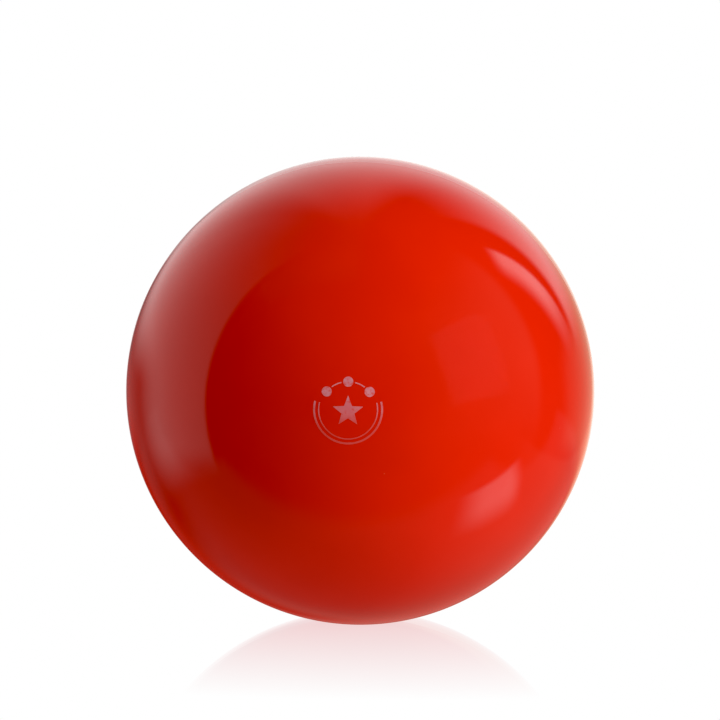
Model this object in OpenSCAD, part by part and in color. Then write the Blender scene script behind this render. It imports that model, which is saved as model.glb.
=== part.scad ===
/* [Ball] */
// Outside diameter of the ball
ball_d = 190; // [180:1:200]
// Thickness of the moulded skin
skin_t = 3.1; // [2.6:0.1:3.6]

/* [Valve seat] */
// Diameter of the seat that is moulded into the skin
seat_d = 14; // [13:0.5:16]
// Distance from the ball's surface to the seat's inner end
seat_depth = 16; // [14.5:0.5:18]
// How far the seat's face lies below the ball's surface
face_drop = 0.15; // [0.1:0.05:0.3]
// Thickness of the skin's collar around the seat
collar_t = 3.4; // [2.4:0.2:4]
// Radius of each half-round rib that keys the seat into the collar
rib_r = 1.1; // [0.8:0.1:1.3]
// Radius of the scallop that lets a fingernail under the stopper's head
scallop_r = 1.8; // [1.4:0.1:2]

/* [Valve core] */
// Diameter of the core's rubber shank
core_d = 8; // [7.4:0.2:8.6]
// Radius of the bead that stops the shank sliding in the seat
bead_r = 0.6; // [0.4:0.1:0.8]
// Diameter of the flange that lies against the seat's inner end
flange_d = 12.4; // [11:0.2:13]
// Thickness of that flange
flange_t = 1.6; // [1.2:0.1:2]
// Length of the duckbill below the flange
bill_len = 9.4; // [8.5:0.1:11]
// Diameter of the channel that an inflating needle opens
needle_d = 1.6; // [1.2:0.1:2]
// Width of the slit that closes when the needle leaves
slit_w = 3.4; // [2.6:0.2:4]

/* [Stopper] */
// Diameter of the stopper's head
head_d = 10; // [9.4:0.2:10.4]
// Distance from the ball's surface to the underside of the head
head_depth = 1.6; // [1.4:0.1:1.8]
// Diameter of the stem that plugs the core
stem_d = 4.4; // [4:0.1:4.8]
// Length of the stem
stem_len = 8; // [7:0.25:8.5]

/* [Printed mark] */
// Diameter of the printed badge
mark_d = 28; // [24:0.5:32]
// Angle of the badge above the ball's equator
mark_lift = 9; // [0:1:30]
// Thickness of the ink film
ink_t = 0.05; // [0.04:0.01:0.1]
// Width of the badge's ring line
ring_line = 0.8; // [0.6:0.1:1.2]
// Width of the thin lines between the badge's discs
path_line = 0.5; // [0.4:0.1:0.7]

/* [Hidden] */
$fn = 160;

// Colours
ball_red = "#d8230d";
seat_red = "#c41f0d";
core_black = "#262324";
stopper_white = "#e9e4da";
ink_pink = "#e6a9a0";

// Running clearance on the stem, and the smaller gap under the head
stem_gap = 0.03;
head_gap = 0.02;
// Clearance around the head, which a fingernail needs
rim_gap = 0.15;
// Thickness of the closed slit
slit_t = 0.1;
// Chamfer on the ends of the stem and on the mouth of its well
lead_in = 0.4;
// Overshoot of a cutting shape
over = 1;

// Heights along the valve's axis, from the ball's centre
ball_r = ball_d / 2;
inner_r = ball_r - skin_t;
face_r = ball_r - face_drop;
seat_z = ball_r - seat_depth;
head_z = ball_r - head_depth;
well_depth = stem_len + 0.6;
flange_z = seat_z - flange_t;
bill_z = flange_z - bill_len;
slit_len = 3;

seat_r = seat_d / 2;
core_r = core_d / 2;
flange_r = flange_d / 2;
head_r = head_d / 2;
stem_r = stem_d / 2;
needle_r = needle_d / 2;
well_r = stem_r + stem_gap;
collar_r = seat_r + collar_t;
flare = 3.5;
rib_heights = [seat_z + 0.25 * seat_depth, seat_z + 0.56 * seat_depth];
bead_z = seat_z + 0.42 * seat_depth;

// Duckbill: radius and half thickness at its root and at its lips
bill_root_r = 4.2;
bill_tip_r = 3;
bill_tip_half = 0.9;

// Badge layout, as shares of its radius
mark_r = mark_d / 2;
inner_ring_r = 0.86 * mark_r;
disc_r = 0.145 * mark_r;
disc_orbit_r = 0.8 * mark_r;
star_r = 0.46 * mark_r;
star_points = 5;
star_waist = 0.42;
star_drop = 0.05 * mark_r;
disc_angles = [140, 90, 40];
ring_from = 166;
ring_to = 374;
path_margin = 14;

// Right half of a disc, for turned outlines
module half_disc(r) {
    intersection() {
        circle(r = r);
        translate([0, -r]) square([r, 2 * r]);
    }
}

// Circular sector from angle a to angle b, wider than radius r everywhere
module sector(r, a, b) {
    steps = ceil((b - a) / 30);
    reach = 2 * r;
    polygon([
        [0, 0],
        for (i = [0:steps]) let (t = a + (b - a) * i / steps) [reach * cos(t), reach * sin(t)]
    ]);
}

// Ring line of width w whose outer edge has radius r, from angle a to angle b
module arc_line(r, w, a, b) {
    intersection() {
        difference() {
            circle(r = r);
            circle(r = r - w);
        }
        sector(r, a, b);
    }
}

module star(r, points, waist) {
    half_step = 180 / points;
    polygon([
        for (i = [0:2 * points - 1])
            let (reach = i % 2 == 0 ? r : r * waist, t = 90 + i * half_step)
            [reach * cos(t), reach * sin(t)]
    ]);
}

// Turns the valve's own axis, which is +Z in its outlines, onto the ball's +Y
module on_valve_axis() {
    rotate([-90, 0, 0]) children();
}

// Outline of the seat before it is bored, which is also the pocket in the skin
module seat_outline(top_r) {
    intersection() {
        half_disc(top_r);
        union() {
            translate([0, seat_z]) square([seat_r, seat_depth + over]);
            for (z = rib_heights) translate([seat_r, z]) circle(r = rib_r);
        }
    }
}

// Outline of the core's shank, which is also the bore in the seat
module shank_outline() {
    intersection() {
        translate([0, seat_z - over]) square([2 * core_r, head_z - seat_z + over]);
        union() {
            translate([0, seat_z - over]) square([core_r, seat_depth]);
            translate([core_r, bead_z]) circle(r = bead_r);
        }
    }
}

// Collar of solid skin around the seat, flared into the wall
module collar_outline() {
    polygon([
        [0, seat_z],
        [collar_r, seat_z],
        [collar_r, inner_r - flare - skin_t / 2],
        [collar_r + flare, inner_r],
        [0, inner_r]
    ]);
}

module ball_skin() {
    color(ball_red) on_valve_axis() rotate_extrude() difference() {
        union() {
            difference() {
                half_disc(ball_r);
                circle(r = inner_r);
            }
            collar_outline();
        }
        translate([0, seat_z - over]) square([seat_r, seat_depth + 2 * over]);
        for (z = rib_heights) translate([seat_r, z]) circle(r = rib_r);
    }
}

module valve_seat() {
    color(seat_red) on_valve_axis() difference() {
        rotate_extrude() difference() {
            seat_outline(face_r);
            shank_outline();
            translate([0, head_z]) square([head_r + rim_gap, head_depth + over]);
        }
        translate([0, head_r + rim_gap, face_r]) sphere(r = scallop_r);
    }
}

module valve_core() {
    color(core_black) on_valve_axis() difference() {
        union() {
            rotate_extrude() shank_outline();
            translate([0, 0, flange_z]) cylinder(r = flange_r, h = flange_t);
            duckbill();
        }
        translate([0, 0, head_z - well_depth]) cylinder(r = well_r, h = well_depth + over);
        translate([0, 0, head_z - lead_in])
            cylinder(r1 = well_r, r2 = well_r + lead_in, h = lead_in);
        translate([0, 0, bill_z + slit_len])
            cylinder(r = needle_r, h = head_z - well_depth - bill_z - slit_len + over);
        translate([-slit_w / 2, -slit_t / 2, bill_z - over])
            cube([slit_w, slit_t, slit_len + 2 * over]);
    }
}

// Tapered tail that is pressed flat at its lips, where the slit opens
module duckbill() {
    intersection() {
        translate([0, 0, bill_z]) cylinder(r1 = bill_tip_r, r2 = bill_root_r, h = bill_len + over);
        rotate([90, 0, 90]) translate([0, 0, -2 * bill_root_r]) linear_extrude(4 * bill_root_r)
            polygon([
                [-bill_tip_half, bill_z],
                [bill_tip_half, bill_z],
                [bill_root_r, flange_z + over],
                [-bill_root_r, flange_z + over]
            ]);
    }
}

module stopper() {
    stem_top = head_z + head_gap;
    color(stopper_white) on_valve_axis() rotate_extrude() {
        intersection() {
            half_disc(face_r);
            polygon([
                [0, stem_top],
                [head_r - lead_in, stem_top],
                [head_r, stem_top + lead_in],
                [head_r, ball_r + over],
                [0, ball_r + over]
            ]);
        }
        polygon([
            [0, stem_top - stem_len],
            [stem_r - lead_in, stem_top - stem_len],
            [stem_r, stem_top - stem_len + lead_in],
            [stem_r, stem_top + over / 2],
            [0, stem_top + over / 2]
        ]);
    }
}

// Badge of a star under three discs, inside an open ring
module badge() {
    arc_line(mark_r, ring_line, ring_from, ring_to);
    arc_line(inner_ring_r, path_line, ring_from, ring_to);
    translate([0, -star_drop]) star(star_r, star_points, star_waist);
    for (t = disc_angles) rotate(t) translate([disc_orbit_r, 0]) circle(r = disc_r);
    for (i = [1:len(disc_angles) - 1])
        arc_line(
            disc_orbit_r + path_line / 2,
            path_line,
            disc_angles[i] + path_margin,
            disc_angles[i - 1] - path_margin
        );
}

module printed_mark() {
    color(ink_pink) intersection() {
        difference() {
            sphere(r = ball_r + ink_t);
            sphere(r = ball_r);
        }
        rotate([90 - mark_lift, 0, 0]) translate([0, 0, inner_r]) linear_extrude(2 * skin_t) badge();
    }
}

ball_skin();
valve_seat();
valve_core();
stopper();
printed_mark();
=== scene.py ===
"""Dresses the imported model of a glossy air-filled juggling ball and lights it on a pale floor.

The ball is a thick vinyl skin with a printed badge on its front. Its valve is at the back: a seat that
is moulded into the skin, a rubber core that seals itself, and a stopper that pulls out.
"""

import logging
import math
from dataclasses import dataclass, field
from enum import Enum

import bpy
from mathutils import Matrix, Vector


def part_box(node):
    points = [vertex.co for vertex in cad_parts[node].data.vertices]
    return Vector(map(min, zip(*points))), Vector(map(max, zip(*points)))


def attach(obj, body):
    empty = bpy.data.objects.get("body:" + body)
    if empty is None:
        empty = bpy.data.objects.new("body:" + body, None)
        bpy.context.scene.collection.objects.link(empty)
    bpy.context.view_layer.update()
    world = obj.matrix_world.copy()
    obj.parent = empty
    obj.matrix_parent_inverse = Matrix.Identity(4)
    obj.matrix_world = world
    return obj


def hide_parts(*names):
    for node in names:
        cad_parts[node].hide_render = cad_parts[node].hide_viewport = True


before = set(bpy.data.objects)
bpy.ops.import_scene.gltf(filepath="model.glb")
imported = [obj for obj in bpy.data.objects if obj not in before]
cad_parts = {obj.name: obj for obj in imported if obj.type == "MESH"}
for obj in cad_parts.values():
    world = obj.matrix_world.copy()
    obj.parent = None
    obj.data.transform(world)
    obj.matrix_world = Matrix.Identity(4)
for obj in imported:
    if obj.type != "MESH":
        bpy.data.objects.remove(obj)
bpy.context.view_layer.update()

LOG = logging.getLogger("juggling_ball")
MM = 0.001
MERGE = 1e-7
QUARTER = 90.0
HALF = 180.0
FULL_TURN = 2 * math.pi
X_AXIS = Vector((1, 0, 0))
Z_AXIS = Vector((0, 0, 1))

# Values of a noise pattern between which a finish changes
MOTTLE_BAND = (0.35, 0.65)
GLOSS_BAND = (0.3, 0.7)
RUB_BAND = (0.42, 0.68)

Colour = tuple[float, float, float, float]
Point = tuple[float, float, float]


class Slot(str, Enum):
    """Material slots of the record, one for each piece. Nothing in the script reads them: each piece brings
    its own finish.
    """

    SKIN = "skin"
    SEAT = "seat"
    CORE = "core"
    STOPPER = "stopper"
    INK = "ink"


class Body(str, Enum):
    """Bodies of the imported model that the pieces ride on."""

    BALL = "ball"
    PLUG = "plug"


# ---------------------------------------------------------------- shader nodes


class Graph:
    """Adds nodes to one node tree and links them."""

    def __init__(self, tree: bpy.types.NodeTree) -> None:
        """Empties the tree.

        Args:
            tree: The material's or world's node tree.
        """
        self.tree = tree
        tree.nodes.clear()

    def add(self, kind: str, **settings: object) -> bpy.types.Node:
        """Adds a node.

        Args:
            kind: The node's type name without its ShaderNode prefix.
            **settings: Attributes to set on the node.

        Returns:
            The new node.
        """
        node = self.tree.nodes.new("ShaderNode" + kind)
        for name, value in settings.items():
            setattr(node, name, value)
        return node

    def feed(self, node: bpy.types.Node, **inputs: object) -> bpy.types.Node:
        """Sets a node's inputs to constants, or links them to other nodes' outputs.

        Args:
            node: The node to feed.
            **inputs: Socket names, with underscores for spaces, and their values or sources.

        Returns:
            The same node.
        """
        for name, value in inputs.items():
            self.plug(node.inputs[name.replace("_", " ")], value)
        return node

    def plug(self, socket: bpy.types.NodeSocket, value: object) -> None:
        """Sets one input socket to a constant, or links it to an output."""
        if isinstance(value, bpy.types.NodeSocket):
            self.tree.links.new(value, socket)
        else:
            socket.default_value = value

    def math(self, operation: str, *values: object) -> bpy.types.NodeSocket:
        """Adds a Math node.

        Args:
            operation: Blender's name of the operation.
            *values: Its operands, numbers or outputs.

        Returns:
            The result's socket.
        """
        node = self.add("Math", operation=operation)
        for socket, value in zip(node.inputs, values):
            self.plug(socket, value)
        return node.outputs[0]

    def product(self, terms: list[object]) -> bpy.types.NodeSocket:
        """Multiplies any number of outputs or numbers."""
        result = terms[0]
        for term in terms[1:]:
            result = self.math("MULTIPLY", result, term)
        return result

    def vector(self, operation: str, first: object, second: object) -> bpy.types.NodeSocket:
        """Adds a Vector Math node with two vector operands.

        Args:
            operation: Blender's name of the operation.
            first: The first vector, fixed or an output.
            second: The second vector, fixed or an output.

        Returns:
            The result's socket.
        """
        node = self.add("VectorMath", operation=operation)
        self.plug(node.inputs[0], first)
        self.plug(node.inputs[1], second)
        return node.outputs["Vector"]

    def scaled(self, vector: object, factor: object) -> bpy.types.NodeSocket:
        """Adds a vector's product with a number."""
        node = self.add("VectorMath", operation="SCALE")
        return self.feed(node, Vector=vector, Scale=factor).outputs["Vector"]

    def ramp(
        self,
        value: bpy.types.NodeSocket,
        low: float,
        high: float,
        start: float = 0.0,
        end: float = 1.0,
        smooth: bool = True,
    ) -> bpy.types.NodeSocket:
        """Maps a range of one value to another range, and holds it at the ends.

        Args:
            value: The value to map.
            low: Where the result is start.
            high: Where the result is end.
            start: The result at low.
            end: The result at high.
            smooth: Whether the ends are eased.

        Returns:
            The result's socket.
        """
        kind = "SMOOTHSTEP" if smooth else "LINEAR"
        node = self.add("MapRange", interpolation_type=kind)
        for socket, number in zip(node.inputs, (value, low, high, start, end)):
            self.plug(socket, number)
        return node.outputs[0]

    def dot(self, vector: bpy.types.NodeSocket, axis: Vector) -> bpy.types.NodeSocket:
        """Adds the dot product of a direction and a fixed axis."""
        node = self.add("VectorMath", operation="DOT_PRODUCT")
        self.plug(node.inputs[0], vector)
        self.plug(node.inputs[1], tuple(axis))
        return node.outputs["Value"]

    def noise(
        self, where: bpy.types.NodeSocket, size: float, detail: float = 2.0, rough: float = 0.5
    ) -> bpy.types.NodeSocket:
        """Adds a noise pattern.

        Args:
            where: The coordinates that it follows.
            size: The rough size of one patch, in metres.
            detail: Number of finer layers.
            rough: Strength of the finer layers.

        Returns:
            The pattern's value, about 0.2 to 0.8.
        """
        node = self.add("TexNoise")
        self.feed(node, Vector=where, Scale=1 / size, Detail=detail, Roughness=rough)
        return node.outputs[0]

    def bump(
        self, height: bpy.types.NodeSocket, distance: float, normal: bpy.types.NodeSocket | None = None
    ) -> bpy.types.NodeSocket:
        """Adds a Bump node.

        Args:
            height: The pattern that it raises.
            distance: How far the pattern's highest value stands out, in metres.
            normal: The normal that it starts from, or None for the surface's own.

        Returns:
            The bumped normal's socket.
        """
        node = self.feed(self.add("Bump"), Strength=1.0, Distance=distance, Height=height)
        if normal is not None:
            self.plug(node.inputs["Normal"], normal)
        return node.outputs["Normal"]

    def blend(self, share: object, first: object, second: object) -> bpy.types.NodeSocket:
        """Mixes two colours.

        Args:
            share: How much of the second colour there is.
            first: The colour at 0.
            second: The colour at 1.

        Returns:
            The mixed colour's socket.
        """
        node = self.add("Mix", data_type="RGBA")
        self.plug(node.inputs["Factor"], share)
        colours = [socket for socket in node.inputs if socket.type == "RGBA"]
        self.plug(colours[0], first)
        self.plug(colours[1], second)
        return next(socket for socket in node.outputs if socket.type == "RGBA")

    def place(self) -> bpy.types.NodeSocket:
        """Adds the piece's own coordinates, in metres in the row frame."""
        return self.add("TexCoord").outputs["Object"]


# ---------------------------------------------------------------- finishes


@dataclass(frozen=True)
class Finish:
    """A material of one colour with mottling, a slightly uneven gloss and a fine surface texture."""

    name: str
    colour: Colour
    second_colour: Colour
    mottle_size: float
    roughness: float
    rough_spread: float
    grain_size: float
    grain_height: float
    ior: float = 1.5

    def build(self) -> bpy.types.Material:
        """Makes the material.

        Returns:
            The finished material.
        """
        material = bpy.data.materials.new(self.name)
        material.use_nodes = True
        graph = Graph(material.node_tree)
        shader = graph.add("BsdfPrincipled")
        output = graph.add("OutputMaterial")
        graph.plug(output.inputs["Surface"], shader.outputs["BSDF"])
        shader.inputs["IOR"].default_value = self.ior
        where = graph.place()
        graph.feed(shader, Base_Color=self.paint(graph, where))
        graph.feed(shader, Roughness=self.gloss(graph, where))
        graph.feed(shader, Normal=self.relief(graph, where))
        return material

    def paint(self, graph: Graph, where: bpy.types.NodeSocket) -> bpy.types.NodeSocket:
        """Mixes the two colours in soft patches.

        Args:
            graph: The material's nodes.
            where: The piece's coordinates.

        Returns:
            The colour's socket.
        """
        patches = graph.ramp(graph.noise(where, self.mottle_size, detail=3), *MOTTLE_BAND)
        return graph.blend(patches, self.colour, self.second_colour)

    def gloss(self, graph: Graph, where: bpy.types.NodeSocket) -> bpy.types.NodeSocket:
        """Varies the roughness a little in larger patches.

        Args:
            graph: The material's nodes.
            where: The piece's coordinates.

        Returns:
            The roughness's socket.
        """
        handled = graph.noise(where, 2 * self.mottle_size, detail=4, rough=0.6)
        low, high = self.roughness - self.rough_spread, self.roughness + self.rough_spread
        return graph.ramp(handled, *GLOSS_BAND, low, high)

    def relief(self, graph: Graph, where: bpy.types.NodeSocket) -> bpy.types.NodeSocket:
        """Raises a fine grain.

        Args:
            graph: The material's nodes.
            where: The piece's coordinates.

        Returns:
            The bumped normal's socket.
        """
        return graph.bump(graph.noise(where, self.grain_size), self.grain_height)


@dataclass(frozen=True)
class Vinyl(Finish):
    """Glossy moulded vinyl, with a soft orange-peel wave and a few specks of dust."""

    wave_size: float = 14 * MM
    wave_height: float = 0.004 * MM
    dust_colour: Colour = (0.9, 0.35, 0.28, 1.0)
    dust_pitch: float = 17 * MM
    dust_radius: float = 0.028
    dust_core: float = 0.3
    dusty_above: float = 0.75
    dust_share: float = 0.15

    def paint(self, graph: Graph, where: bpy.types.NodeSocket) -> bpy.types.NodeSocket:
        """Adds sparse specks of dust to the mottled colour.

        Args:
            graph: The material's nodes.
            where: The piece's coordinates.

        Returns:
            The colour's socket.
        """
        base = super().paint(graph, where)
        cells = graph.add("TexVoronoi")
        graph.feed(cells, Vector=where, Scale=1 / self.dust_pitch)
        solid = self.dust_core * self.dust_radius
        near = graph.ramp(cells.outputs["Distance"], solid, self.dust_radius, 1, 0)
        chosen = graph.math("GREATER_THAN", graph.dot(cells.outputs["Color"], X_AXIS), self.dusty_above)
        return graph.blend(graph.product([near, chosen, self.dust_share]), base, self.dust_colour)

    def relief(self, graph: Graph, where: bpy.types.NodeSocket) -> bpy.types.NodeSocket:
        """Adds a long, very shallow wave under the fine grain.

        Args:
            graph: The material's nodes.
            where: The piece's coordinates.

        Returns:
            The bumped normal's socket.
        """
        wave = graph.bump(graph.noise(where, self.wave_size, detail=1), self.wave_height)
        return graph.bump(graph.noise(where, self.grain_size), self.grain_height, wave)


@dataclass(frozen=True)
class WornInk(Finish):
    """Thin printing ink that lets the vinyl show through where it is rubbed, most of all low on the badge."""

    rub_size: float = 1.6 * MM
    rub_share: tuple[float, float] = (0.1, 0.85)
    rubbed_colour: Colour = (0.78, 0.05, 0.03, 1.0)
    worn_below: float = 5 * MM
    sound_above: float = 26 * MM
    worst_wear: float = 0.88

    def paint(self, graph: Graph, where: bpy.types.NodeSocket) -> bpy.types.NodeSocket:
        """Mixes in the colour of the vinyl below, in small patches and all over where it is low.

        Args:
            graph: The material's nodes.
            where: The piece's coordinates.

        Returns:
            The colour's socket.
        """
        base = super().paint(graph, where)
        spots = graph.noise(where, self.rub_size, detail=4, rough=0.7)
        rubbed = graph.ramp(spots, *RUB_BAND, *self.rub_share)
        height = graph.dot(where, Z_AXIS)
        worn = graph.ramp(height, self.worn_below, self.sound_above, self.worst_wear, 0)
        return graph.blend(graph.math("MAXIMUM", rubbed, worn), base, self.rubbed_colour)


VINYL = Vinyl(
    name="glossy_red_vinyl",
    colour=(0.80, 0.028, 0.012, 1.0),
    second_colour=(0.77, 0.026, 0.011, 1.0),
    mottle_size=45 * MM,
    roughness=0.07,
    rough_spread=0.012,
    grain_size=1.1 * MM,
    grain_height=0.0006 * MM,
)
SEAT_VINYL = Vinyl(
    name="valve_seat_vinyl",
    colour=(0.66, 0.028, 0.013, 1.0),
    second_colour=(0.6, 0.024, 0.011, 1.0),
    mottle_size=6 * MM,
    roughness=0.24,
    rough_spread=0.05,
    grain_size=0.5 * MM,
    grain_height=0.004 * MM,
)
RUBBER = Finish(
    name="valve_core_rubber",
    colour=(0.022, 0.02, 0.02, 1.0),
    second_colour=(0.034, 0.031, 0.03, 1.0),
    mottle_size=2.5 * MM,
    roughness=0.62,
    rough_spread=0.1,
    grain_size=0.25 * MM,
    grain_height=0.01 * MM,
)
STOPPER_PLASTIC = Finish(
    name="stopper_white_plastic",
    colour=(0.80, 0.77, 0.70, 1.0),
    second_colour=(0.74, 0.71, 0.63, 1.0),
    mottle_size=3 * MM,
    roughness=0.34,
    rough_spread=0.06,
    grain_size=0.3 * MM,
    grain_height=0.004 * MM,
)
INK = WornInk(
    name="badge_ink",
    colour=(0.80, 0.33, 0.38, 1.0),
    second_colour=(0.76, 0.26, 0.31, 1.0),
    mottle_size=4 * MM,
    roughness=0.3,
    rough_spread=0.06,
    grain_size=0.4 * MM,
    grain_height=0.003 * MM,
)


# ---------------------------------------------------------------- modelling


def start_fresh() -> None:
    """Leaves edit mode and deselects every object."""
    if bpy.context.object and bpy.context.object.mode != "OBJECT":
        bpy.ops.object.mode_set(mode="OBJECT")
    bpy.ops.object.select_all(action="DESELECT")


def select_only(piece: bpy.types.Object) -> None:
    """Selects one object and makes it the active one."""
    start_fresh()
    piece.select_set(True)
    bpy.context.view_layer.objects.active = piece


def apply_modifier(piece: bpy.types.Object, kind: str, **settings: object) -> None:
    """Adds a modifier and applies it.

    Args:
        piece: The piece to change.
        kind: Blender's name of the modifier's type.
        **settings: Attributes to set on the modifier.
    """
    select_only(piece)
    modifier = piece.modifiers.new(kind.lower(), kind)
    for name, value in settings.items():
        setattr(modifier, name, value)
    bpy.ops.object.modifier_apply(modifier=modifier.name)


def tidy_mesh(piece: bpy.types.Object, sharp_degrees: float = 40.0) -> None:
    """Merges doubled points, turns the faces outwards and smooths all but the sharp edges.

    Args:
        piece: The piece to finish.
        sharp_degrees: The angle between two faces above which their edge stays sharp.
    """
    select_only(piece)
    bpy.ops.object.mode_set(mode="EDIT")
    bpy.ops.mesh.select_all(action="SELECT")
    bpy.ops.mesh.remove_doubles(threshold=MERGE)
    bpy.ops.mesh.normals_make_consistent(inside=False)
    bpy.ops.object.mode_set(mode="OBJECT")
    bpy.ops.object.shade_smooth_by_angle(angle=math.radians(sharp_degrees))


def add_point(where: Point) -> None:
    """Starts a new mesh with a single point, and stays in edit mode with the point selected.

    Args:
        where: The point's place, in metres.
    """
    start_fresh()
    bpy.ops.mesh.primitive_plane_add(size=MM, location=where)
    bpy.ops.object.transform_apply(location=True)
    bpy.ops.object.mode_set(mode="EDIT")
    bpy.ops.mesh.select_all(action="SELECT")
    bpy.ops.mesh.merge(type="CENTER")


@dataclass
class Turning:
    """A profile that is drawn point by point beside the valve's axis, and then spun round it.

    A point is given as its distance from the axis and its height along it, in millimetres.
    """

    segments: int
    out: float = 0.0
    along: float = 0.0

    def start(self, out: float, along: float) -> "Turning":
        """Puts down the first point.

        Args:
            out: Distance from the axis.
            along: Height along the axis.

        Returns:
            The same profile.
        """
        add_point((out * MM, along * MM, 0))
        self.out, self.along = out, along
        return self

    def line(self, out: float, along: float, pieces: int = 1) -> "Turning":
        """Draws a straight line.

        Args:
            out: The end's distance from the axis.
            along: The end's height along the axis.
            pieces: The number of equal stretches.

        Returns:
            The same profile.
        """
        step = ((out - self.out) * MM / pieces, (along - self.along) * MM / pieces, 0)
        for _ in range(pieces):
            bpy.ops.mesh.extrude_region_move(TRANSFORM_OT_translate={"value": step})
        self.out, self.along = out, along
        return self

    def arc(self, centre: tuple[float, float], degrees: float, steps: int) -> "Turning":
        """Draws an arc.

        Args:
            centre: The arc's centre, as a distance from the axis and a height along it.
            degrees: How far the arc turns, positive from outwards to upwards.
            steps: The number of stretches.

        Returns:
            The same profile.
        """
        bpy.ops.mesh.spin(
            steps=steps,
            angle=-math.radians(degrees),
            center=(centre[0] * MM, centre[1] * MM, 0),
            axis=(0, 0, 1),
        )
        turn = Matrix.Rotation(math.radians(degrees), 2)
        arm = turn @ Vector((self.out - centre[0], self.along - centre[1]))
        self.out, self.along = centre[0] + arm.x, centre[1] + arm.y
        return self

    def turn(self) -> bpy.types.Object:
        """Spins the profile into a closed piece.

        Returns:
            The piece.
        """
        bpy.ops.mesh.select_all(action="SELECT")
        bpy.ops.mesh.spin(steps=self.segments, angle=FULL_TURN, center=(0, 0, 0), axis=(0, 1, 0))
        bpy.ops.object.mode_set(mode="OBJECT")
        piece = bpy.context.object
        tidy_mesh(piece)
        return piece


def height_on(radius: float, out: float) -> float:
    """Height along the axis of a sphere's surface at a distance from the axis, in the same unit."""
    return math.sqrt(radius * radius - out * out)


def angle_of(out: float, along: float) -> float:
    """Angle of a point as seen from the ball's centre, in degrees above the middle plane."""
    return math.degrees(math.atan2(along, out))


# ---------------------------------------------------------------- the ball's pieces


@dataclass(frozen=True)
class Sizes:
    """Sizes that the pieces share, in millimetres. The outer ones are read from the frame."""

    ball: float = round(-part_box("ball_skin")[0].y / MM, 2)
    seat_end: float = round(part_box("valve_seat")[0].y / MM, 2)
    head_rest: float = round(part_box("valve_core")[1].y / MM, 2)
    bill_end: float = round(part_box("valve_core")[0].y / MM, 2)
    flange: float = round(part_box("valve_core")[1].x / MM, 1)
    face: float = round(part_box("stopper")[1].y / MM, 2)
    stem_end: float = round(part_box("stopper")[0].y / MM, 2)
    head: float = round(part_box("stopper")[1].x / MM, 1)
    skin: float = 3.1
    seat: float = 7.0
    collar: float = 10.4
    rib: float = 1.1
    core: float = 4.0
    bead: float = 0.6
    stem: float = 2.2
    well: float = 2.23
    needle: float = 0.8
    rim_gap: float = 0.15
    head_gap: float = 0.02
    rib_shares: tuple[float, float] = (0.25, 0.56)
    bead_share: float = 0.42

    @property
    def seat_length(self) -> float:
        """Length of the seat from its inner end to the ball's surface."""
        return self.ball - self.seat_end

    @property
    def rib_heights(self) -> list[float]:
        """Heights of the seat's ribs along the axis, the outer one first."""
        return [self.seat_end + share * self.seat_length for share in reversed(self.rib_shares)]

    @property
    def bead_height(self) -> float:
        """Height of the core's bead along the axis."""
        return self.seat_end + self.bead_share * self.seat_length


SIZES = Sizes()


@dataclass
class BallPiece:
    """What the ball's pieces share: a shape, a finish, a body and the CAD node that they replace."""

    name: str
    node: str
    slot: Slot
    finish: Finish
    body: Body = Body.BALL
    piece: bpy.types.Object | None = None

    def shape(self) -> bpy.types.Object:
        """Models the piece.

        Returns:
            The modelled object.
        """
        raise NotImplementedError(self.name)

    def make(self) -> bpy.types.Object:
        """Models and dresses the piece, and ties it to the frame.

        Returns:
            The finished object.
        """
        self.piece = self.shape()
        self.piece.name = self.name
        self.piece.data.name = self.name
        self.piece.data.materials.clear()
        self.piece.data.materials.append(self.finish.build())
        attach(self.piece, self.body.value)
        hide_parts(self.node)
        return self.piece


@dataclass
class BallSkin(BallPiece):
    """The vinyl skin: outer and inner wall, and the collar that the valve seat is moulded into."""

    name: str = "moulded_skin"
    node: str = "ball_skin"
    slot: Slot = Slot.SKIN
    finish: Finish = VINYL
    segments: int = 288
    lip: float = 0.6
    seam_height: float = 0.03
    seam_half_degrees: float = 0.18
    outer_steps: int = 96
    inner_steps: int = 50
    flare_out: float = 13.2
    flare_from: float = 86.85

    def shape(self) -> bpy.types.Object:
        """Turns the skin from one profile that starts and ends on the axis at the front.

        Returns:
            The modelled skin.
        """
        ball, seat, half = SIZES.ball, SIZES.seat, self.seam_half_degrees
        inner = ball - SIZES.skin
        lip_out = seat + self.lip
        profile = Turning(self.segments).start(0, -ball)
        profile.arc((0, 0), QUARTER - half, self.outer_steps)
        profile.line(ball + self.seam_height, 0)
        profile.line(ball * math.cos(math.radians(half)), ball * math.sin(math.radians(half)))
        profile.arc((0, 0), angle_of(lip_out, height_on(ball, lip_out)) - half, self.outer_steps)
        profile.arc((lip_out, profile.along - self.lip), QUARTER, steps=6)
        for height in SIZES.rib_heights:
            profile.line(seat, height + SIZES.rib, pieces=2)
            profile.arc((seat, height), -HALF, steps=8)
        profile.line(seat, SIZES.seat_end, pieces=2)
        profile.line(SIZES.collar - self.lip, SIZES.seat_end, pieces=2)
        profile.arc((SIZES.collar - self.lip, SIZES.seat_end + self.lip), QUARTER, steps=5)
        profile.line(SIZES.collar, self.flare_from, pieces=3)
        profile.line(self.flare_out, height_on(inner, self.flare_out), pieces=3)
        profile.arc((0, 0), -QUARTER - angle_of(profile.out, profile.along), self.inner_steps)
        return profile.turn()


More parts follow.
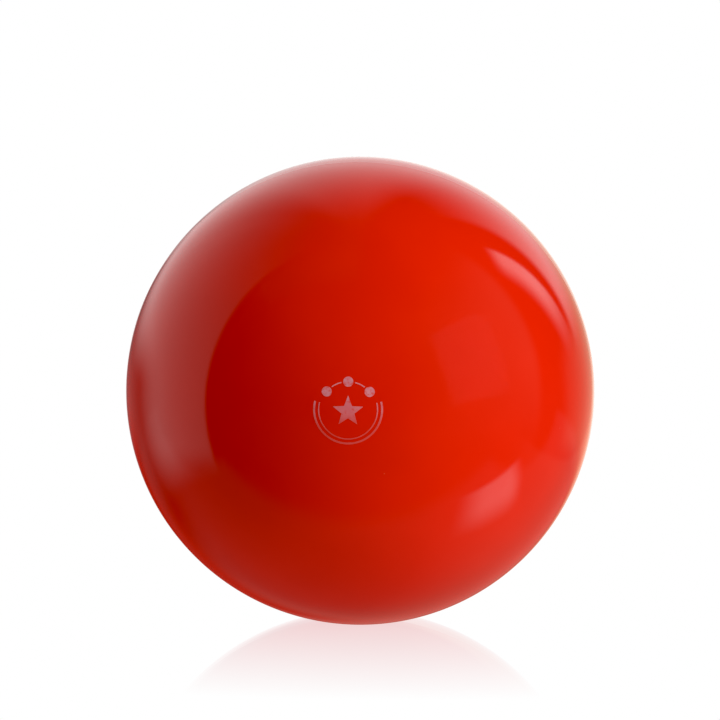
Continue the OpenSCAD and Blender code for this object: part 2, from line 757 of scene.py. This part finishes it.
@dataclass
class ValveSeat(BallPiece):
    """The hard vinyl seat, with two ribs outside, the core's bore and a step for the stopper's head."""

    name: str = "moulded_valve_seat"
    node: str = "valve_seat"
    slot: Slot = Slot.SEAT
    finish: Finish = SEAT_VINYL
    segments: int = 96
    inner_round: float = 0.2
    outer_round: float = 0.35
    chamfer: float = 0.3
    scallop: float = 1.8

    def shape(self) -> bpy.types.Object:
        """Turns the seat from one closed profile and cuts the fingernail scallop.

        Returns:
            The modelled seat.
        """
        step_out = SIZES.head + SIZES.rim_gap
        face_in, face_out = step_out + self.inner_round, SIZES.seat - self.outer_round
        profile = Turning(self.segments).start(step_out, SIZES.head_rest)
        profile.line(step_out, height_on(SIZES.face, face_in) - self.inner_round)
        profile.arc((face_in, profile.along), -QUARTER, steps=4)
        sweep = angle_of(face_out, height_on(SIZES.face, face_out)) - angle_of(profile.out, profile.along)
        profile.arc((0, 0), sweep, steps=5)
        profile.arc((face_out, profile.along - self.outer_round), -QUARTER, steps=5)
        for height in SIZES.rib_heights:
            profile.line(SIZES.seat, height + SIZES.rib)
            profile.arc((SIZES.seat, height), -HALF, steps=8)
        profile.line(SIZES.seat, SIZES.seat_end + self.chamfer)
        profile.line(SIZES.seat - self.chamfer, SIZES.seat_end)
        profile.line(SIZES.core + self.chamfer, SIZES.seat_end)
        profile.line(SIZES.core, SIZES.seat_end + self.chamfer)
        profile.line(SIZES.core, SIZES.bead_height - SIZES.bead)
        profile.arc((SIZES.core, SIZES.bead_height), HALF, steps=8)
        profile.line(SIZES.core, SIZES.head_rest)
        profile.line(step_out, SIZES.head_rest)
        seat = profile.turn()
        self.cut_scallop(seat, step_out)
        return seat

    def cut_scallop(self, seat: bpy.types.Object, step_out: float) -> None:
        """Cuts the hollow that lets a fingernail under the stopper's head.

        Args:
            seat: The turned seat.
            step_out: Radius of the step that holds the head.
        """
        start_fresh()
        bpy.ops.mesh.primitive_ico_sphere_add(
            subdivisions=4, radius=self.scallop * MM, location=(0, SIZES.face * MM, -step_out * MM)
        )
        cutter = bpy.context.object
        apply_modifier(seat, "BOOLEAN", operation="DIFFERENCE", object=cutter, solver="EXACT")
        bpy.data.objects.remove(cutter)
        tidy_mesh(seat)


@dataclass
class ValveCore(BallPiece):
    """The rubber core: a shank with a bead, a flange, and a duckbill with a slit between its lips."""

    name: str = "self_sealing_core"
    node: str = "valve_core"
    slot: Slot = Slot.CORE
    finish: Finish = RUBBER
    segments: int = 72
    edge: float = 0.25
    flange_thickness: float = 1.6
    root: float = 4.2
    tip: float = 3.0
    tip_flatness: float = 0.3
    bill_steps: int = 8
    well_depth: float = 8.6
    lead_in: float = 0.4
    channel_end: float = 3.0
    slit_width: float = 3.4
    slit_gap: float = 0.1
    overshoot: float = 2.0
    level_digits: int = 7

    def shape(self) -> bpy.types.Object:
        """Turns the core, flattens its tail into lips and cuts the slit.

        Returns:
            The modelled core.
        """
        under = SIZES.seat_end - self.flange_thickness
        well_end = SIZES.head_rest - self.well_depth
        profile = Turning(self.segments).start(0, SIZES.bill_end)
        profile.line(self.tip - self.edge, SIZES.bill_end, pieces=3)
        profile.arc((self.tip - self.edge, SIZES.bill_end + self.edge), QUARTER, steps=4)
        profile.line(self.root, under, self.bill_steps)
        profile.line(SIZES.flange - self.edge, under)
        profile.arc((SIZES.flange - self.edge, under + self.edge), QUARTER, steps=4)
        profile.line(SIZES.flange, SIZES.seat_end - self.edge)
        profile.arc((SIZES.flange - self.edge, SIZES.seat_end - self.edge), QUARTER, steps=4)
        profile.line(SIZES.core, SIZES.seat_end)
        profile.line(SIZES.core, SIZES.bead_height - SIZES.bead)
        profile.arc((SIZES.core, SIZES.bead_height), HALF, steps=8)
        profile.line(SIZES.core, SIZES.head_rest - self.edge)
        profile.arc((SIZES.core - self.edge, SIZES.head_rest - self.edge), QUARTER, steps=4)
        profile.line(SIZES.well + self.lead_in, SIZES.head_rest)
        profile.line(SIZES.well, SIZES.head_rest - self.lead_in)
        profile.line(SIZES.well, well_end, pieces=4)
        profile.line(SIZES.needle, well_end)
        profile.line(SIZES.needle, SIZES.bill_end + self.channel_end, pieces=4)
        profile.line(0, SIZES.bill_end + self.channel_end)
        core = profile.turn()
        self.flatten_bill(core, under)
        self.cut_slit(core)
        return core

    def flatten_bill(self, core: bpy.types.Object, root_height: float) -> None:
        """Presses the tail flat, a little more at each ring towards its tip.

        Args:
            core: The turned core.
            root_height: Height of the tail's root along the axis, in millimetres.
        """
        length = root_height - SIZES.bill_end
        bore_radius = SIZES.needle * MM + MERGE
        bore_start = (SIZES.bill_end + self.channel_end) * MM - MERGE
        below = [vertex.co.y for vertex in core.data.vertices if vertex.co.y < root_height * MM - MERGE]
        select_only(core)
        for level in sorted({round(height, self.level_digits) for height in below}):
            share = (root_height - level / MM) / length
            flat = 1 - (1 - self.tip_flatness) * share
            bpy.ops.object.mode_set(mode="EDIT")
            bpy.ops.mesh.select_all(action="DESELECT")
            bpy.ops.object.mode_set(mode="OBJECT")
            for vertex in core.data.vertices:
                bore_wall = level > bore_start and math.hypot(vertex.co.x, vertex.co.z) < bore_radius
                vertex.select = abs(vertex.co.y - level) < 10 * MERGE and not bore_wall
            bpy.ops.object.mode_set(mode="EDIT")
            bpy.ops.transform.resize(value=(1, 1, flat), center_override=(0, level, 0))
            bpy.ops.object.mode_set(mode="OBJECT")

    def cut_slit(self, core: bpy.types.Object) -> None:
        """Cuts the slit that the needle opens between the lips.

        Args:
            core: The core with its flattened tail.
        """
        start_fresh()
        middle = (SIZES.bill_end + (self.channel_end - self.overshoot) / 2) * MM
        bpy.ops.mesh.primitive_cube_add(size=1, location=(0, middle, 0))
        cutter = bpy.context.object
        cutter.scale = (self.slit_width * MM, (self.channel_end + self.overshoot) * MM, self.slit_gap * MM)
        bpy.ops.object.transform_apply(location=False, rotation=False, scale=True)
        apply_modifier(core, "BOOLEAN", operation="DIFFERENCE", object=cutter, solver="EXACT")
        bpy.data.objects.remove(cutter)
        tidy_mesh(core)


@dataclass
class Stopper(BallPiece):
    """The push-in stopper: a domed head with a moulding dimple, and a grooved stem."""

    name: str = "push_in_stopper"
    node: str = "stopper"
    slot: Slot = Slot.STOPPER
    finish: Finish = STOPPER_PLASTIC
    body: Body = Body.PLUG
    segments: int = 96
    dimple: float = 1.0
    dimple_floor: float = 0.7
    dimple_depth: float = 0.2
    rim_round: float = 0.4
    under_round: float = 0.3
    fillet: float = 0.2
    tip_round: float = 0.4
    groove: float = 0.25
    groove_shares: tuple[float, float] = (0.72, 0.36)

    def shape(self) -> bpy.types.Object:
        """Turns the stopper from the middle of its head to the middle of its tip.

        Returns:
            The modelled stopper.
        """
        top, under = SIZES.face, SIZES.head_rest + SIZES.head_gap
        rim = SIZES.head - self.rim_round
        profile = Turning(self.segments).start(0, top - self.dimple_depth)
        profile.line(self.dimple_floor, top - self.dimple_depth, pieces=2)
        profile.line(self.dimple, height_on(top, self.dimple))
        sweep = angle_of(rim, height_on(top, rim)) - angle_of(profile.out, profile.along)
        profile.arc((0, 0), sweep, steps=10)
        profile.arc((rim, profile.along - self.rim_round), -QUARTER, steps=6)
        profile.line(SIZES.head, under + self.under_round)
        profile.arc((SIZES.head - self.under_round, under + self.under_round), -QUARTER, steps=4)
        profile.line(SIZES.stem + self.fillet, under, pieces=3)
        profile.arc((SIZES.stem + self.fillet, under - self.fillet), QUARTER, steps=4)
        length = under - SIZES.stem_end
        for share in self.groove_shares:
            middle = SIZES.stem_end + share * length
            profile.line(SIZES.stem, middle + self.groove)
            profile.arc((SIZES.stem, middle), HALF, steps=6)
        profile.line(SIZES.stem, SIZES.stem_end + self.tip_round)
        profile.arc((SIZES.stem - self.tip_round, SIZES.stem_end + self.tip_round), -QUARTER, steps=6)
        profile.line(0, SIZES.stem_end, pieces=3)
        return profile.turn()


@dataclass
class PrintedBadge(BallPiece):
    """The printed badge: a star under three discs inside an open ring, as a film of ink on the skin.

    Its artwork is drawn flat, looking at it with X to the right and Y up, and is then laid on the skin.
    """

    name: str = "printed_badge"
    node: str = "printed_mark"
    slot: Slot = Slot.INK
    finish: Finish = INK
    ground: BallSkin | None = None
    radius: float = round(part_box("printed_mark")[1].x / MM, 1)
    lift_degrees: float = 9.0
    film: float = 0.05
    ring_line: float = 0.8
    path_line: float = 0.5
    inner_ring: float = 0.86
    disc: float = 0.145
    orbit: float = 0.8
    star: float = 0.46
    waist: float = 0.42
    drop: float = 0.05
    disc_degrees: tuple[float, float, float] = (140, 90, 40)
    ring_degrees: tuple[float, float] = (166, 374)
    path_margin: float = 14
    star_points: int = 5
    star_cuts: int = 5
    disc_corners: int = 40
    arc_step: float = 3.0
    fewest_steps: int = 4
    headroom: float = 2.0
    parts: list[bpy.types.Object] = field(default_factory=list)

    def shape(self) -> bpy.types.Object:
        """Draws the artwork, lays it on the skin and gives it its thickness.

        Returns:
            The modelled film of ink.
        """
        start, end = self.ring_degrees
        self.draw_arc(self.radius, self.ring_line, start, end)
        self.draw_arc(self.inner_ring * self.radius, self.path_line, start, end)
        self.draw_star()
        for degrees in self.disc_degrees:
            self.draw_disc(degrees)
        for upper, lower in zip(self.disc_degrees[1:], self.disc_degrees):
            outer = self.orbit * self.radius + self.path_line / 2
            self.draw_arc(outer, self.path_line, upper + self.path_margin, lower - self.path_margin)
        badge = self.join_parts()
        badge.rotation_euler = (math.radians(QUARTER - self.lift_degrees), 0, 0)
        bpy.context.view_layer.update()
        apply_modifier(
            badge,
            "SHRINKWRAP",
            target=self.ground.piece,
            wrap_method="PROJECT",
            use_project_z=True,
            use_negative_direction=True,
            use_positive_direction=False,
        )
        apply_modifier(badge, "SOLIDIFY", thickness=self.film * MM, offset=1)
        bpy.ops.object.transform_apply(location=True, rotation=True, scale=True)
        tidy_mesh(badge)
        return badge

    @property
    def plane(self) -> float:
        """Height of the flat artwork above the ball's centre, in metres."""
        return (SIZES.ball + self.headroom) * MM

    def keep(self) -> None:
        """Leaves edit mode and keeps the object for joining, with its place in its mesh."""
        bpy.ops.object.mode_set(mode="OBJECT")
        bpy.ops.object.transform_apply(location=True, rotation=True, scale=True)
        self.parts.append(bpy.context.object)

    def draw_arc(self, outer: float, width: float, start: float, end: float) -> None:
        """Draws an arc as a line of even width.

        Args:
            outer: Radius of its outer edge, in millimetres.
            width: Its width, in millimetres.
            start: The angle where it starts, in degrees.
            end: The angle where it ends, in degrees.
        """
        towards = Vector((math.cos(math.radians(start)), math.sin(math.radians(start)), 0))
        first = towards * (outer - width) * MM
        add_point((first.x, first.y, self.plane))
        bpy.ops.mesh.extrude_region_move(TRANSFORM_OT_translate={"value": towards * width * MM})
        bpy.ops.mesh.select_all(action="SELECT")
        bpy.ops.mesh.spin(
            steps=max(self.fewest_steps, round((end - start) / self.arc_step)),
            angle=-math.radians(end - start),
            center=(0, 0, self.plane),
            axis=(0, 0, 1),
        )
        self.keep()

    def draw_disc(self, degrees: float) -> None:
        """Draws one disc.

        Args:
            degrees: Its angle round the badge.
        """
        start_fresh()
        away = self.orbit * self.radius * MM
        angle = math.radians(degrees)
        where = (away * math.cos(angle), away * math.sin(angle), self.plane)
        radius = self.disc * self.radius * MM
        bpy.ops.mesh.primitive_circle_add(
            vertices=self.disc_corners, radius=radius, fill_type="TRIFAN", location=where
        )
        bpy.ops.object.mode_set(mode="EDIT")
        bpy.ops.mesh.select_all(action="SELECT")
        bpy.ops.mesh.subdivide(number_cuts=1)
        self.keep()

    def draw_star(self) -> None:
        """Draws the star, from a disc with two corners for each point, every other one pulled in."""
        start_fresh()
        radius = self.star * self.radius * MM
        bpy.ops.mesh.primitive_circle_add(
            vertices=2 * self.star_points, radius=radius, fill_type="TRIFAN", location=(0, 0, 0)
        )
        star = bpy.context.object
        bpy.ops.object.mode_set(mode="EDIT")
        bpy.ops.mesh.select_mode(type="VERT")
        bpy.ops.mesh.select_all(action="DESELECT")
        bpy.ops.object.mode_set(mode="OBJECT")
        for vertex in star.data.vertices:
            angle = math.degrees(math.atan2(vertex.co.y, vertex.co.x)) - QUARTER
            vertex.select = vertex.co.length > MERGE and round(angle * self.star_points / HALF) % 2 == 1
        bpy.ops.object.mode_set(mode="EDIT")
        bpy.ops.transform.resize(value=(self.waist, self.waist, 1), center_override=(0, 0, 0))
        bpy.ops.mesh.select_all(action="SELECT")
        bpy.ops.transform.translate(value=(0, -self.drop * self.radius * MM, self.plane))
        bpy.ops.mesh.subdivide(number_cuts=self.star_cuts)
        self.keep()

    def join_parts(self) -> bpy.types.Object:
        """Joins the drawn parts into one flat mesh.

        Returns:
            The joined object.
        """
        start_fresh()
        for part in self.parts:
            part.select_set(True)
        bpy.context.view_layer.objects.active = self.parts[0]
        bpy.ops.object.join()
        badge = bpy.context.object
        select_only(badge)
        bpy.ops.object.mode_set(mode="EDIT")
        bpy.ops.mesh.select_all(action="SELECT")
        bpy.ops.mesh.remove_doubles(threshold=MERGE)
        bpy.ops.mesh.normals_make_consistent(inside=False)
        bpy.ops.object.mode_set(mode="OBJECT")
        if badge.data.polygons[0].normal.z < 0:
            bpy.ops.object.mode_set(mode="EDIT")
            bpy.ops.mesh.select_all(action="SELECT")
            bpy.ops.mesh.flip_normals()
            bpy.ops.object.mode_set(mode="OBJECT")
        return badge


# ---------------------------------------------------------------- the studio


def direction_of(azimuth: float, elevation: float) -> Vector:
    """Finds a direction round the ball.

    Args:
        azimuth: Its angle round the ball in degrees, 0 in front of the badge and 90 to its right.
        elevation: Its angle above the horizon in degrees.

    Returns:
        The unit vector in that direction.
    """
    turn, lift = math.radians(azimuth), math.radians(elevation)
    return Vector((math.sin(turn) * math.cos(lift), -math.cos(turn) * math.cos(lift), math.sin(lift)))


class CardKind(Enum):
    """What a studio card does to the light from its direction."""

    LIGHT = "adds light"
    FLAG = "hides the cards that hang behind it"


@dataclass(frozen=True)
class Card:
    """One card of the studio that the ball's gloss reflects.

    Angles are in degrees as seen from the ball. Azimuth 0 is in front of the badge and 90 to its right.
    The card's edges are given from its middle, the left or lower one first.
    """

    azimuth: float
    elevation: float
    across: tuple[float, float]
    upward: tuple[float, float]
    strength: float
    roll: float = 0.0
    soft_across: tuple[float, float] = (3.0, 3.0)
    soft_upward: tuple[float, float] = (3.0, 3.0)
    left_share: float = 1.0
    tint: Point = (1.0, 1.0, 1.0)
    kind: CardKind = CardKind.LIGHT

    def axes(self) -> tuple[Vector, Vector, Vector]:
        """The card's own axes.

        Returns:
            The directions to its right, to its top and to its middle.
        """
        middle = direction_of(self.azimuth, self.elevation)
        right = direction_of(self.azimuth + QUARTER, 0)
        top = direction_of(self.azimuth, self.elevation + QUARTER)
        roll = math.radians(self.roll)
        return (
            right * math.cos(roll) + top * math.sin(roll),
            top * math.cos(roll) - right * math.sin(roll),
            middle,
        )

    def cover(self, graph: Graph, direction: bpy.types.NodeSocket) -> bpy.types.NodeSocket:
        """Adds the nodes for how strongly the card is seen.

        Args:
            graph: The world's nodes.
            direction: The direction that is looked in.

        Returns:
            The card's strength in that direction, 0 outside it.
        """
        right, top, middle = (graph.dot(direction, axis) for axis in self.axes())
        across = graph.math("ARCTAN2", right, middle)
        upward = graph.math("ARCSINE", top)
        left_end, right_end = (math.radians(end) for end in self.across)
        return graph.product(
            [
                *self.edges(graph, across, self.across, self.soft_across),
                *self.edges(graph, upward, self.upward, self.soft_upward),
                graph.ramp(across, left_end, right_end, self.left_share, 1, smooth=False),
                self.strength,
            ]
        )

    def edges(
        self,
        graph: Graph,
        angle: bpy.types.NodeSocket,
        ends: tuple[float, float],
        softness: tuple[float, float],
    ) -> list[bpy.types.NodeSocket]:
        """Adds the nodes for two opposite edges.

        Args:
            graph: The world's nodes.
            angle: The angle that runs from one edge to the other.
            ends: Where the edges are, in degrees.
            softness: How far each edge is blurred to both sides, in degrees.

        Returns:
            The cover of each edge, 1 inside the card.
        """
        (low, high), (low_soft, high_soft) = ends, softness
        low_ends = math.radians(low - low_soft), math.radians(low + low_soft)
        high_ends = math.radians(high - high_soft), math.radians(high + high_soft)
        return [graph.ramp(angle, *low_ends), graph.ramp(angle, *high_ends, 1, 0)]


WARM: Point = (1.0, 1.0, 0.7)

CARDS = {
    "back_wall": Card(
        azimuth=-169,
        elevation=0,
        across=(-19, 19),
        upward=(-16, 47),
        strength=1.0,
        soft_across=(10, 12),
        soft_upward=(3, 36),
    ),
    "left_wall": Card(
        azimuth=-119,
        elevation=-8,
        across=(-31, 40),
        upward=(-18, 46),
        strength=0.52,
        soft_across=(12, 1.5),
        soft_upward=(7, 38),
        left_share=1.75,
    ),
    "right_wall": Card(
        azimuth=158,
        elevation=0,
        across=(-13, 14),
        upward=(1, 30),
        strength=1.0,
        soft_across=(3, 10),
        soft_upward=(6, 24),
    ),
    "low_wall": Card(
        azimuth=150,
        elevation=0,
        across=(-27, 26),
        upward=(-20, 1),
        strength=0.7,
        soft_across=(6, 10),
        soft_upward=(3, 6),
        left_share=0.15,
        tint=WARM,
    ),
    "strip": Card(
        azimuth=130,
        elevation=22,
        across=(-3.5, 4.5),
        upward=(-14, 14),
        strength=1.75,
        roll=17,
        soft_across=(4.5, 1),
        soft_upward=(12, 4),
    ),
    "umbrella": Card(
        azimuth=67,
        elevation=16,
        across=(-36, 37),
        upward=(-20, 33),
        strength=0.26,
        soft_across=(3, 4),
        soft_upward=(20, 16),
        left_share=0.05,
        tint=WARM,
    ),
    "table": Card(
        azimuth=180,
        elevation=-77,
        across=(-50, 54),
        upward=(-62, 62),
        strength=0.11,
        roll=90,
        soft_across=(8, 2),
    ),
    "table_right": Card(
        azimuth=143,
        elevation=-42,
        across=(-45, 45),
        upward=(-20, 20),
        strength=0.1,
        roll=12,
        soft_across=(12, 20),
        soft_upward=(14, 1),
        tint=WARM,
    ),
    "dark_corner": Card(
        azimuth=-151,
        elevation=-14,
        across=(-21, 27),
        upward=(-25, 10),
        strength=0.88,
        soft_across=(5, 14),
        soft_upward=(8, 6),
        kind=CardKind.FLAG,
    ),
    "table_glare": Card(
        azimuth=88,
        elevation=-35,
        across=(-14, 8),
        upward=(-9, 6.5),
        strength=1.15,
        roll=39,
        soft_across=(8, 4),
        soft_upward=(8, 1.5),
    ),
    "red_bounce": Card(
        azimuth=-177,
        elevation=-26,
        across=(-28, 28),
        upward=(-16, 12),
        strength=0.4,
        soft_across=(12, 12),
        soft_upward=(12, 6),
        tint=(1.0, 0.06, 0.04),
    ),
}


@dataclass(frozen=True)
class Lamp:
    """A square soft lamp that looks at the ball and stays out of its gloss.

    Angles are in degrees as for a card, sizes in metres.
    """

    azimuth: float
    elevation: float
    distance: float
    size: float
    watts: float

    def hang(self, name: str) -> None:
        """Adds the lamp to the scene.

        Args:
            name: The lamp's name.
        """
        light = bpy.data.lights.new(name, "AREA")
        light.energy = self.watts
        light.size = self.size
        holder = bpy.data.objects.new(name, light)
        bpy.context.scene.collection.objects.link(holder)
        towards = direction_of(self.azimuth, self.elevation)
        holder.location = towards * self.distance
        holder.rotation_euler = (-towards).to_track_quat("-Z", "Y").to_euler()
        holder.visible_camera = False
        holder.visible_glossy = False


LAMPS = {
    "key_lamp": Lamp(azimuth=64, elevation=20, distance=2, size=1.2, watts=36.5),
    "side_lamp": Lamp(azimuth=-92, elevation=69, distance=2, size=1.6, watts=20),
    "back_lamp": Lamp(azimuth=-156, elevation=8, distance=2, size=1.2, watts=20),
}


@dataclass
class Studio:
    """The pale floor, the soft light and the camera."""

    floor_z: float
    aim: Vector
    floor_glow: float = 0.67
    floor_radius: float = 3.0
    floor_corners: int = 96
    floor_ior: float = 1.5
    sheen_reach: tuple[float, float] = (0.28, 0.13)
    sheen: float = 1.47
    sheen_tint: Point = (0.65, 1.0, 0.97)
    camera_azimuth: float = 3.0
    camera_elevation: float = 13.5
    camera_distance: float = 6.0
    view_width: float = 0.292
    view_depth: float = 18.0
    black_level: float = 0.012

    def build(self) -> None:
        """Builds the whole studio."""
        self.lay_floor()
        self.hang_cards()
        for name, lamp in LAMPS.items():
            lamp.hang(name)
        self.set_camera()
        self.set_tone()

    def lay_floor(self) -> None:
        """Lays a round white floor that mirrors the ball faintly where it stands."""
        start_fresh()
        bpy.ops.mesh.primitive_circle_add(
            vertices=self.floor_corners,
            radius=self.floor_radius,
            fill_type="NGON",
            location=(0, 0, self.floor_z),
        )
        floor = bpy.context.object
        floor.name = "pale_floor"
        floor.data.materials.append(self.floor_finish())
        floor.visible_glossy = False

    def floor_finish(self) -> bpy.types.Material:
        """Makes the floor's material.

        Returns:
            A white glow with a mirror sheen that fades away from the ball.
        """
        material = bpy.data.materials.new("pale_floor")
        material.use_nodes = True
        graph = Graph(material.node_tree)
        rays = graph.add("LightPath")
        where = graph.add("SeparateXYZ")
        graph.plug(where.inputs[0], graph.place())
        across = graph.math("DIVIDE", where.outputs["X"], self.sheen_reach[0])
        away = graph.math("DIVIDE", where.outputs["Y"], self.sheen_reach[1])
        squares = [graph.math("MULTIPLY", side, side) for side in (across, away)]
        far = graph.math("SQRT", graph.math("ADD", *squares))
        fade = graph.ramp(far, 0, 1, 1, 0, smooth=False)
        fresnel = graph.feed(graph.add("Fresnel"), IOR=self.floor_ior).outputs[0]
        share = graph.product([fade, fresnel, self.sheen, rays.outputs["Is Camera Ray"]])
        tinted = graph.scaled(self.sheen_tint, share)
        rest = graph.vector("SUBTRACT", (1, 1, 1), tinted)
        mirror = graph.add("BsdfGlossy")
        graph.feed(mirror, Color=tinted, Roughness=0)
        glow = graph.add("Emission")
        brightness = graph.ramp(rays.outputs["Is Camera Ray"], 0, 1, self.floor_glow, 1.0, smooth=False)
        graph.feed(glow, Color=rest, Strength=brightness)
        both = graph.add("AddShader")
        graph.plug(both.inputs[0], glow.outputs[0])
        graph.plug(both.inputs[1], mirror.outputs[0])
        output = graph.add("OutputMaterial")
        graph.plug(output.inputs["Surface"], both.outputs[0])
        return material

    def hang_cards(self) -> None:
        """Surrounds the ball with cards for its gloss only. The camera and the floor see plain white."""
        world = bpy.data.worlds.new("studio")
        bpy.context.scene.world = world
        world.use_nodes = True
        graph = Graph(world.node_tree)
        direction = graph.add("TexCoord").outputs["Generated"]
        seen = (0, 0, 0)
        for card in CARDS.values():
            cover = card.cover(graph, direction)
            if card.kind is CardKind.LIGHT:
                seen = graph.vector("ADD", seen, graph.scaled(card.tint, cover))
            else:
                seen = graph.scaled(seen, graph.math("SUBTRACT", 1, cover))
        rays = graph.add("LightPath").outputs
        blank = graph.math("MAXIMUM", rays["Is Camera Ray"], rays["Is Singular Ray"])
        glossy = graph.math("SUBTRACT", rays["Is Glossy Ray"], blank)
        plain = graph.scaled((1, 1, 1), blank)
        shown = graph.vector("ADD", plain, graph.scaled(seen, graph.math("MAXIMUM", glossy, 0)))
        background = graph.feed(graph.add("Background"), Color=shown)
        output = graph.add("OutputWorld")
        graph.plug(output.inputs["Surface"], background.outputs[0])

    def set_camera(self) -> None:
        """Sets the camera a little to the right of the badge and above it, with a long lens."""
        data = bpy.data.cameras.new("camera")
        camera = bpy.data.objects.new("camera", data)
        bpy.context.scene.collection.objects.link(camera)
        bpy.context.scene.camera = camera
        back = direction_of(self.camera_azimuth, self.camera_elevation)
        camera.location = self.aim + back * self.camera_distance
        camera.rotation_euler = (-back).to_track_quat("-Z", "Y").to_euler()
        data.lens = data.sensor_width * self.camera_distance / self.view_width
        data.clip_end = self.view_depth

    def set_tone(self) -> None:
        """Shows colours as they are, with a slightly raised black point as in a printed catalogue."""
        view = bpy.context.scene.view_settings
        view.view_transform = "Standard"
        view.look = "None"
        view.use_curve_mapping = True
        view.curve_mapping.black_level = (self.black_level,) * 3


def main() -> None:
    """Builds the pieces in order, then the studio."""
    logging.basicConfig(level=logging.INFO, format="%(name)s: %(message)s")
    skin = BallSkin()
    for part in (skin, ValveSeat(), ValveCore(), Stopper(), PrintedBadge(ground=skin)):
        made = part.make()
        LOG.info("%s: %d faces", made.name, len(made.data.polygons))
    Studio(floor_z=-SIZES.ball * MM, aim=Vector((-0.0001, 0, 0.0128))).build()


if __name__ == "__main__":
    main()
